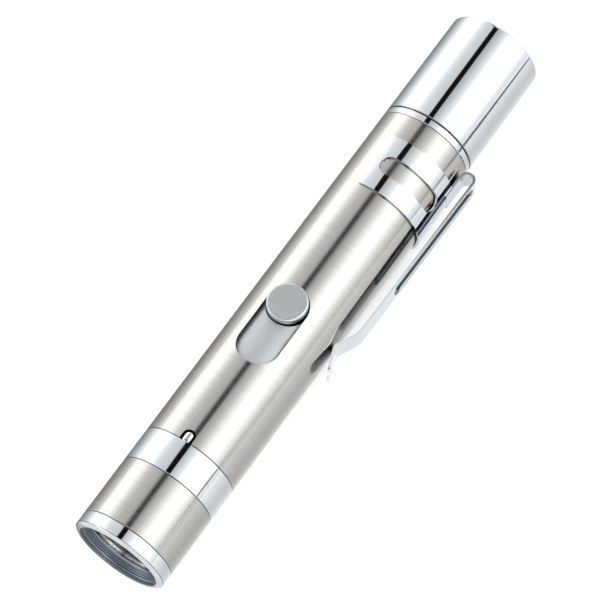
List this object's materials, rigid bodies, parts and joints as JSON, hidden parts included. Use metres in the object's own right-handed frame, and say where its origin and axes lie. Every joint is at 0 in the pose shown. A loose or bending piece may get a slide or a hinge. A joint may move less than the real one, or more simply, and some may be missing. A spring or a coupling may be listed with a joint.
{
  "type": "penlight",
  "caption": "Slim metal penlight with a recessed lens, slide-and-press switch, spring pocket clip and a pull-off tail cap over a charging plug.",
  "frame": {"origin": "centre of the front recess, on the barrel axis, in the plane of the front rim", "axes": "+X along the barrel from the lens to the tail cap, +Z out of the switch, clip on the -Y side"},
  "size_m": [0.1104, 0.0204, 0.0182],
  "materials": {
    "brushed_steel": "brushed round the axis, satin",
    "polished_chrome": "mirror polished plating",
    "clip_chrome": "mirror polished plating on spring steel",
    "ring_steel": "turned, with fine tool marks",
    "window_glass": "clear, polished",
    "seal_rubber": "matt black",
    "reflector_mirror": "vacuum metallised",
    "led_resin": "clear resin over yellow phosphor",
    "heat_sink_aluminium": "turned, plain",
    "board_green": "solder mask",
    "chip_black": "moulded epoxy",
    "contact_gold": "gold plated",
    "lead_copper": "tinned copper",
    "cradle_plastic": "moulded, matt",
    "cell_wrap": "cell can in a thin film wrap",
    "tab_nickel": "nickel plated",
    "screw_steel": "plain bright steel",
    "satin_plate": "satin, bead blasted",
    "satin_knob": "satin, with a bright edge",
    "plug_plastic": "white moulded plastic"
  },
  "bodies": {
    "housing": {"bezel": "polished_chrome", "head_sleeve": "brushed_steel", "retaining_ring": "ring_steel", "window": "window_glass", "window_seal": "seal_rubber", "reflector": "reflector_mirror", "led": "led_resin", "led_board": "board_green", "led_holder": "heat_sink_aluminium", "front_ring": "polished_chrome", "barrel": "brushed_steel", "switch_track": "cradle_plastic", "track_screws": "screw_steel", "circuit_board": "board_green", "switch_pads": "contact_gold", "board_chips": "chip_black", "led_leads": "lead_copper", "battery_cradle": "cradle_plastic", "battery_cell": "cell_wrap", "battery_tabs": "tab_nickel", "tail_socket": "polished_chrome", "cap_seal": "seal_rubber", "plug_carrier": "plug_plastic", "plug_shell": "tab_nickel", "plug_tongue": "plug_plastic", "plug_contacts": "contact_gold", "clip_band": "clip_chrome"},
    "slider": {"slider_plate": "satin_plate", "slider_block": "cradle_plastic", "knob_spring": "screw_steel"},
    "button": {"push_knob": "satin_knob", "contact_bridge": "contact_gold"},
    "clip": {"clip_arm": "clip_chrome"},
    "cap": {"tail_cap": "polished_chrome"}
  },
  "joints": [
    {"name": "slider_travel", "type": "slide", "parent": "housing", "child": "slider", "axis": [-1, 0, 0], "range_m": [0, 0.0083]},
    {"name": "knob_press", "type": "slide", "parent": "slider", "child": "button", "axis": [0, 0, -1], "range_m": [0, 0.00075], "stiffness_N_per_m": 600, "springref_m": -0.0005, "deforming": ["knob_spring"]},
    {"name": "clip_flex", "type": "hinge", "parent": "housing", "child": "clip", "pos_m": [0.08705, -0.01021, 0], "axis": [0, 0, 1], "range_deg": [0, 4.5], "stiffness_Nm_per_rad": 2},
    {"name": "cap_pull", "type": "slide", "parent": "housing", "child": "cap", "axis": [1, 0, 0], "range_m": [0, 0.025]}
  ]
}
